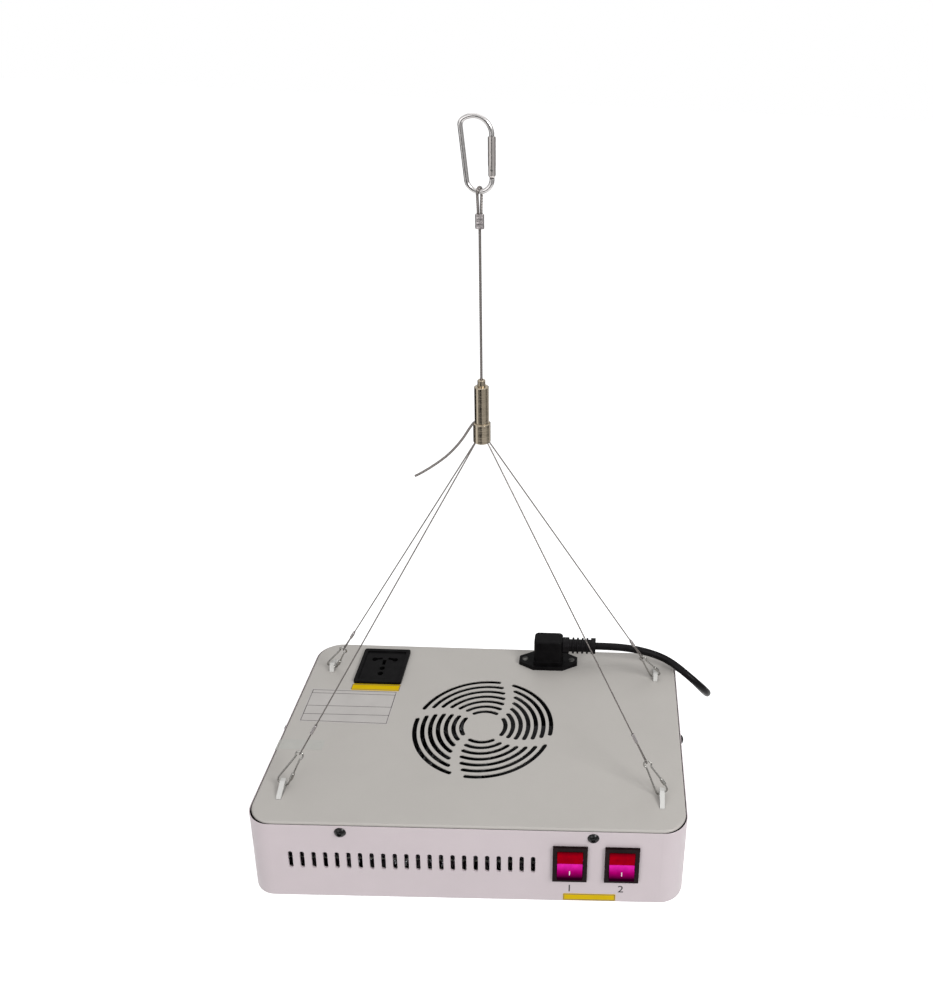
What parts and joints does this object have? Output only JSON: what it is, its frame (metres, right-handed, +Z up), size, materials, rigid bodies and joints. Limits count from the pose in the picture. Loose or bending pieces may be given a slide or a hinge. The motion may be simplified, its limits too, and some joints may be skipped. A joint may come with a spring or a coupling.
{
  "type": "led grow light",
  "caption": "Flat hanging LED grow light: fan-cooled sheet casing with rocker switches, hung on clip-ended leg wires, a sliding cable gripper and a snap hook.",
  "frame": {"origin": "hang point, inside the top bow of the snap hook on the load line", "axes": "+X right seen from the switches, +Y to the rear with the power inlet, +Z up"},
  "size_m": [0.3459, 0.2618, 0.6568],
  "materials": {
    "frame_paint": "satin white paint",
    "cover_paint": "satin grey paint",
    "black_metal": "black oxide",
    "grey_plastic": "moulded",
    "black_plastic": "moulded",
    "rocker_red": "polished",
    "black_rubber": "moulded",
    "contact_brass": "plain",
    "aluminium": "satin",
    "board_white": "solder mask",
    "lens": "clear",
    "reflector": "metallised",
    "driver_grey": "potted",
    "steel_wire": "bright",
    "gripper_nickel": "nickel plated",
    "hard_steel": "polished"
  },
  "bodies": {
    "hanger": {"hook_body": "aluminium", "gate_rivet": "steel_wire"},
    "gate": {"hook_gate": "aluminium"},
    "drop_line": {"cable_eye": "steel_wire", "cable_ferrule": "aluminium", "main_cable": "steel_wire"},
    "lamp": {"housing_frame": "frame_paint", "top_cover": "cover_paint", "cover_screws": "black_metal", "hanging_lugs": "frame_paint", "inlet_socket": "grey_plastic", "inlet_pins": "contact_brass", "inlet_screws": "steel_wire", "angle_plug": "black_plastic", "lead_boot": "black_rubber", "lead_run": "black_rubber", "lead_coil": "black_rubber", "coil_tie": "grey_plastic", "mains_plug": "black_plastic", "mains_plug_pins": "contact_brass", "outlet_socket": "black_plastic", "left_switch": "black_plastic", "right_switch": "black_plastic", "fan_frame": "black_plastic", "fan_screws": "steel_wire", "heat_sink": "aluminium", "led_board": "board_white", "led_lenses": "lens", "reflector": "reflector", "reflector_screws": "steel_wire", "left_driver": "driver_grey", "right_driver": "driver_grey", "gripper_barrel": "gripper_nickel", "gripper_collar": "gripper_nickel", "plunger_spring": "steel_wire", "grip_balls": "hard_steel", "cable_tail": "steel_wire", "leg_wire_front_left": "steel_wire", "leg_wire_front_right": "steel_wire", "leg_wire_rear_left": "steel_wire", "leg_wire_rear_right": "steel_wire", "leg_crimps": "aluminium", "clip_front_left": "steel_wire", "clip_front_right": "steel_wire", "clip_rear_left": "steel_wire", "clip_rear_right": "steel_wire"},
    "plunger": {"release_plunger": "gripper_nickel"},
    "rocker_left": {"left_rocker": "rocker_red"},
    "rocker_right": {"right_rocker": "rocker_red"},
    "fan": {"fan_rotor": "black_plastic"}
  },
  "joints": [
    {"name": "gate_hinge", "type": "hinge", "parent": "hanger", "child": "gate", "pos_m": [0.008, 0, -0.03039], "axis": [0, 1, 0], "range_deg": [-32, 0], "stiffness_Nm_per_rad": 0.02, "springref_deg": 20.05},
    {"name": "lamp_swing", "type": "hinge", "parent": "hanger", "child": "drop_line", "pos_m": [0, 0, -0.04439], "axis": [1, 0, 0], "range_deg": [-20, 20]},
    {"name": "height_adjust", "type": "slide", "parent": "drop_line", "child": "lamp", "axis": [0, 0, 1], "range_m": [0, 0.085], "deforming": ["main_cable"]},
    {"name": "plunger_press", "type": "slide", "parent": "lamp", "child": "plunger", "axis": [0, 0, 1], "range_m": [-0.003, 0], "stiffness_N_per_m": 400, "springref_m": 0.001, "deforming": ["plunger_spring"]},
    {"name": "left_rocker_tilt", "type": "hinge", "parent": "lamp", "child": "rocker_left", "pos_m": [0.0722, -0.09663, -0.49779], "axis": [1, 0, 0], "range_deg": [0, 16]},
    {"name": "right_rocker_tilt", "type": "hinge", "parent": "lamp", "child": "rocker_right", "pos_m": [0.109, -0.09663, -0.49779], "axis": [1, 0, 0], "range_deg": [0, 16]},
    {"name": "fan_spin", "type": "hinge", "parent": "lamp", "child": "fan", "pos_m": [0, 0, -0.49789], "axis": [0, 0, 1], "continuous": true}
  ]
}
